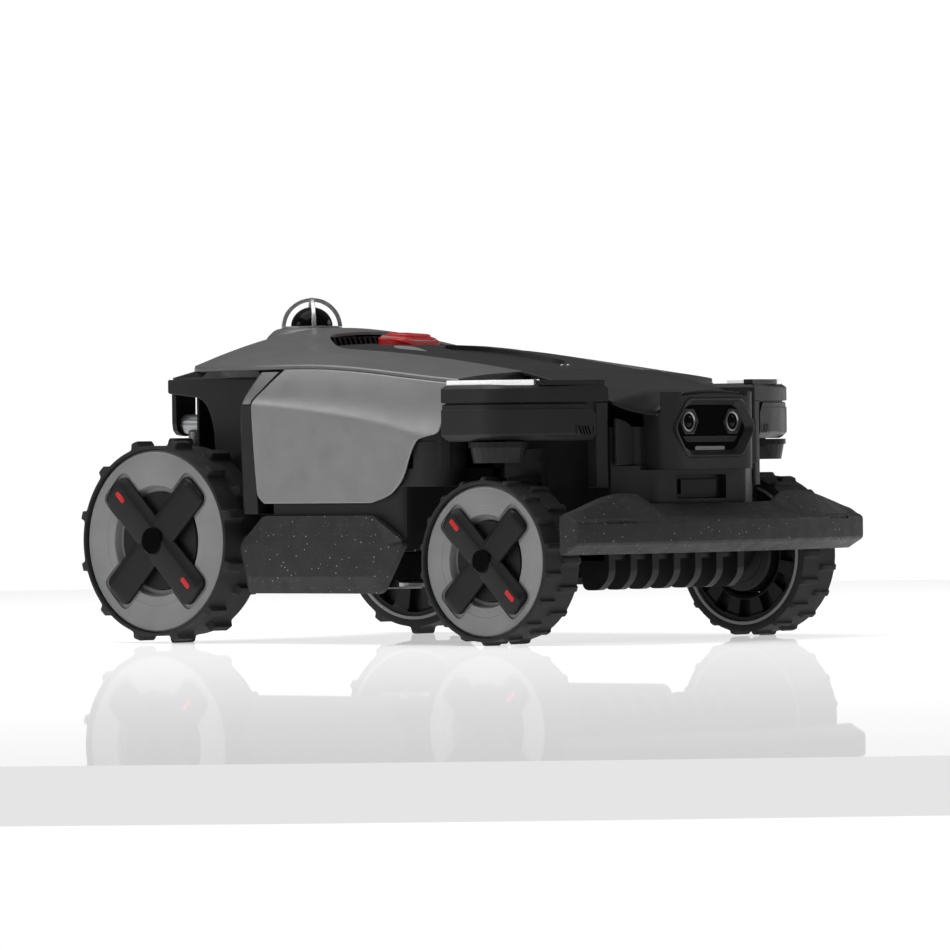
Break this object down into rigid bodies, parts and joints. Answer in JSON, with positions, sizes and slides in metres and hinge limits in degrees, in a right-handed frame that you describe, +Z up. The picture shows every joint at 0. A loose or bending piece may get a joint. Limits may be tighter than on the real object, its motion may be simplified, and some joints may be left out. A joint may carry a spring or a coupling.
{
  "type": "robotic lawn mower",
  "caption": "Low four-wheel robotic lawn mower with steered front wheels, sprung rear wheels, camera nose, full-width bumper and a lifting cutting deck.",
  "frame": {"origin": "on the ground under the middle of the machine's bounding box", "axes": "+X forward towards the bumper, +Y to the mower's left, +Z up"},
  "size_m": [0.724, 0.5, 0.372],
  "materials": {
    "cover_paint": "satin metallic grey paint on moulded plastic",
    "panel_paint": "satin metallic silver paint on moulded plastic",
    "dark_plastic": "fine textured dark grey plastic",
    "black_plastic": "black plastic",
    "flecked_plastic": "dark grey plastic with fine pale flecks",
    "rim_plastic": "mid grey plastic",
    "tyre_rubber": "moulded black rubber",
    "gloss_black": "polished black window plastic",
    "steel": "plain steel",
    "guard_metal": "satin light grey metal",
    "red_plastic": "red satin plastic",
    "light_diffuser": "milky light diffuser",
    "circuit_board": "green circuit board"
  },
  "bodies": {
    "chassis": {"lower_chassis": "dark_plastic", "top_cover": "cover_paint", "centre_console": "dark_plastic", "rain_sensor_left": "steel", "rain_sensor_right": "steel", "antenna_dome": "gloss_black", "antenna_guard": "guard_metal", "rear_frame": "black_plastic", "camera_housing": "dark_plastic", "camera_window": "gloss_black", "camera_lens_left": "gloss_black", "camera_lens_right": "gloss_black", "charging_socket": "black_plastic", "guard_comb": "flecked_plastic", "side_panel_left": "panel_paint", "side_panel_right": "panel_paint", "side_sill_left": "flecked_plastic", "side_sill_right": "flecked_plastic", "steering_pod_left": "dark_plastic", "steering_pod_right": "dark_plastic", "light_bar_left": "light_diffuser", "light_bar_right": "light_diffuser", "steering_motor_left": "steel", "steering_motor_right": "steel", "shock_absorber_left": "steel", "shock_absorber_right": "steel", "lift_gear_motor": "black_plastic", "battery_pack": "black_plastic", "main_board": "circuit_board"},
    "bumper": {"front_bumper": "flecked_plastic"},
    "stop_button": {"stop_button": "red_plastic"},
    "deck": {"cutting_deck": "black_plastic", "cutting_motor": "steel", "lift_screw": "steel"},
    "disc": {"cutting_disc": "steel"},
    "blade_1": {"blade_1": "steel"},
    "blade_2": {"blade_2": "steel"},
    "blade_3": {"blade_3": "steel"},
    "rear_arm_left": {"rear_arm_left": "black_plastic", "rear_wheel_motor_left": "steel"},
    "rear_wheel_left": {"rear_tyre_left": "tyre_rubber", "rear_rim_left": "rim_plastic", "rear_hub_cap_left": "black_plastic"},
    "front_fork_left": {"front_fork_left": "black_plastic", "front_wheel_motor_left": "steel"},
    "front_wheel_left": {"front_tyre_left": "tyre_rubber", "front_rim_left": "rim_plastic", "front_hub_cap_left": "black_plastic"},
    "rear_arm_right": {"rear_arm_right": "black_plastic", "rear_wheel_motor_right": "steel"},
    "rear_wheel_right": {"rear_tyre_right": "tyre_rubber", "rear_rim_right": "rim_plastic", "rear_hub_cap_right": "black_plastic"},
    "front_fork_right": {"front_fork_right": "black_plastic", "front_wheel_motor_right": "steel"},
    "front_wheel_right": {"front_tyre_right": "tyre_rubber", "front_rim_right": "rim_plastic", "front_hub_cap_right": "black_plastic"}
  },
  "joints": [
    {"name": "bumper_press", "type": "slide", "parent": "chassis", "child": "bumper", "axis": [-1, 0, 0], "range_m": [0, 0.004], "stiffness_N_per_m": 3000},
    {"name": "stop_press", "type": "slide", "parent": "chassis", "child": "stop_button", "axis": [0, 0, -1], "range_m": [0, 0.004], "stiffness_N_per_m": 600},
    {"name": "deck_lift", "type": "slide", "parent": "chassis", "child": "deck", "axis": [0, 0, 1], "range_m": [-0.035, 0.03]},
    {"name": "disc_spin", "type": "hinge", "parent": "deck", "child": "disc", "pos_m": [0.004, 0, 0.06], "axis": [0, 0, 1], "continuous": true},
    {"name": "blade_1_swing", "type": "hinge", "parent": "disc", "child": "blade_1", "pos_m": [0.086, 0, 0.0575], "axis": [0, 0, 1], "continuous": true},
    {"name": "blade_2_swing", "type": "hinge", "parent": "disc", "child": "blade_2", "pos_m": [-0.037, 0.07101, 0.0575], "axis": [0, 0, 1], "continuous": true},
    {"name": "blade_3_swing", "type": "hinge", "parent": "disc", "child": "blade_3", "pos_m": [-0.037, -0.07101, 0.0575], "axis": [0, 0, 1], "continuous": true},
    {"name": "rear_arm_left_swing", "type": "hinge", "parent": "chassis", "child": "rear_arm_left", "pos_m": [-0.252, 0.056, 0.098], "axis": [1, 0, 0], "range_deg": [-4, 3], "stiffness_Nm_per_rad": 160, "springref_deg": -2.58, "deforming": ["shock_absorber_left"]},
    {"name": "rear_wheel_left_spin", "type": "hinge", "parent": "rear_arm_left", "child": "rear_wheel_left", "pos_m": [-0.252, 0.22, 0.11], "axis": [0, 1, 0], "continuous": true},
    {"name": "front_steer_left", "type": "hinge", "parent": "chassis", "child": "front_fork_left", "pos_m": [0.206, 0.218, 0.2], "axis": [0, 0, 1], "range_deg": [-50, 50]},
    {"name": "front_wheel_left_spin", "type": "hinge", "parent": "front_fork_left", "child": "front_wheel_left", "pos_m": [0.206, 0.22, 0.088], "axis": [0, 1, 0], "continuous": true},
    {"name": "rear_arm_right_swing", "type": "hinge", "parent": "chassis", "child": "rear_arm_right", "pos_m": [-0.252, -0.056, 0.098], "axis": [-1, 0, 0], "range_deg": [-4, 3], "stiffness_Nm_per_rad": 160, "springref_deg": -2.58, "deforming": ["shock_absorber_right"]},
    {"name": "rear_wheel_right_spin", "type": "hinge", "parent": "rear_arm_right", "child": "rear_wheel_right", "pos_m": [-0.252, -0.22, 0.11], "axis": [0, 1, 0], "continuous": true},
    {"name": "front_steer_right", "type": "hinge", "parent": "chassis", "child": "front_fork_right", "pos_m": [0.206, -0.218, 0.2], "axis": [0, 0, 1], "range_deg": [-50, 50]},
    {"name": "front_wheel_right_spin", "type": "hinge", "parent": "front_fork_right", "child": "front_wheel_right", "pos_m": [0.206, -0.22, 0.088], "axis": [0, 1, 0], "continuous": true}
  ]
}
